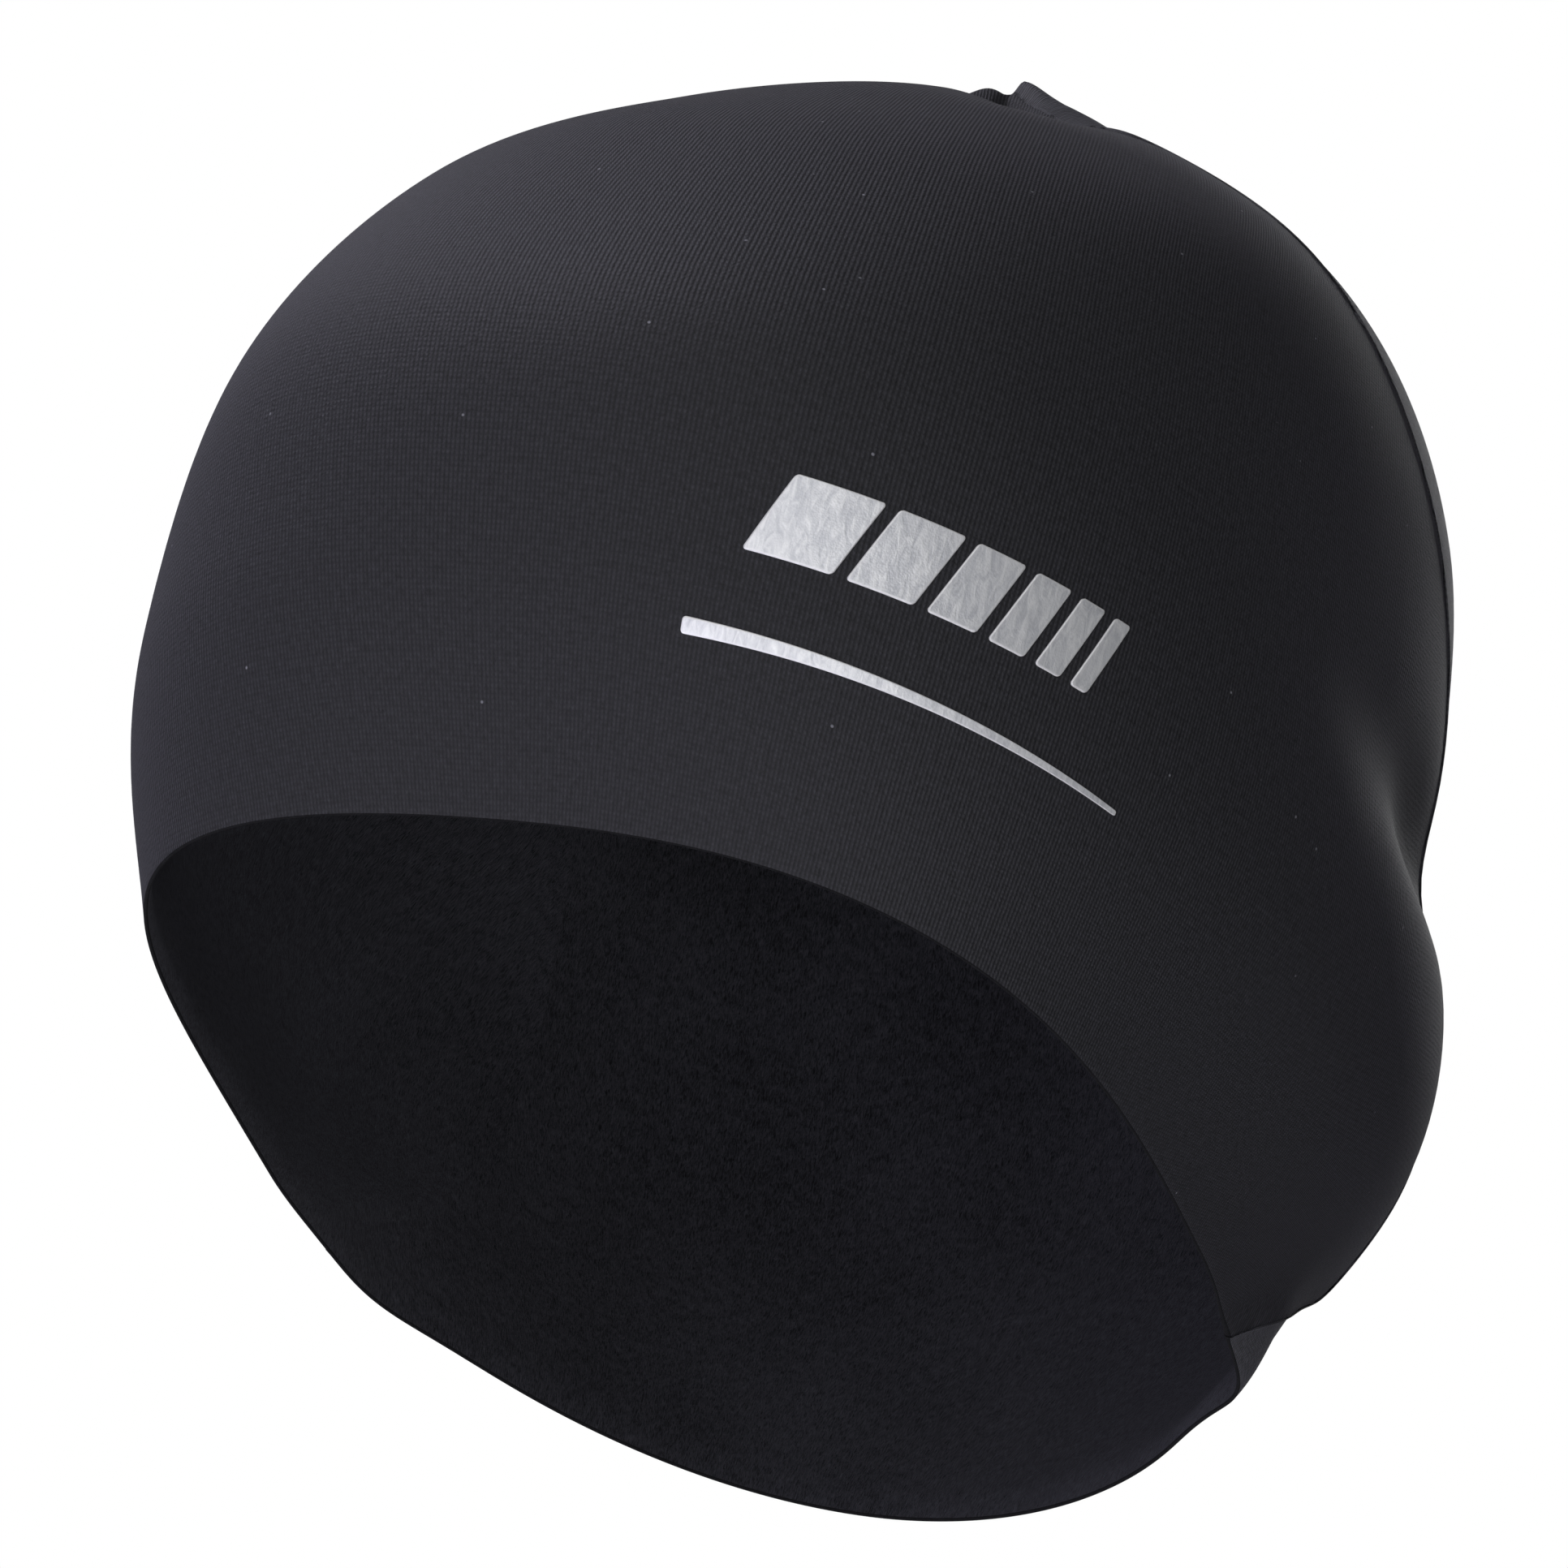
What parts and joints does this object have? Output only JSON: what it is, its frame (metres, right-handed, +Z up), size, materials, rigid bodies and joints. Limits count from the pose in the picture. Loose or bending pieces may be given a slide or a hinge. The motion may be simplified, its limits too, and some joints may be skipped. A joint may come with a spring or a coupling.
{
  "type": "helmet liner skull cap",
  "caption": "Thin close-fitting skull cap worn under a helmet, with curved panels of stretch thermal knit joined over the crown and a reflective print.",
  "frame": {"origin": "inside the cap at the top of the crown, where the head bears", "axes": "+Z up, -Y to the wearer's front, +X to the wearer's left"},
  "size_m": [0.1644, 0.1987, 0.1829],
  "materials": {
    "knit": "black stretch thermal knit, smooth fine wales outside and brushed inside",
    "reflective": "silver reflective heat transfer, slightly grained"
  },
  "bodies": {
    "root": {"front_panel": "knit", "back_panel": "knit", "reflective_block_1": "reflective", "reflective_block_2": "reflective", "reflective_block_3": "reflective", "reflective_block_4": "reflective", "reflective_block_5": "reflective", "reflective_block_6": "reflective", "reflective_line": "reflective"}
  },
  "joints": []
}
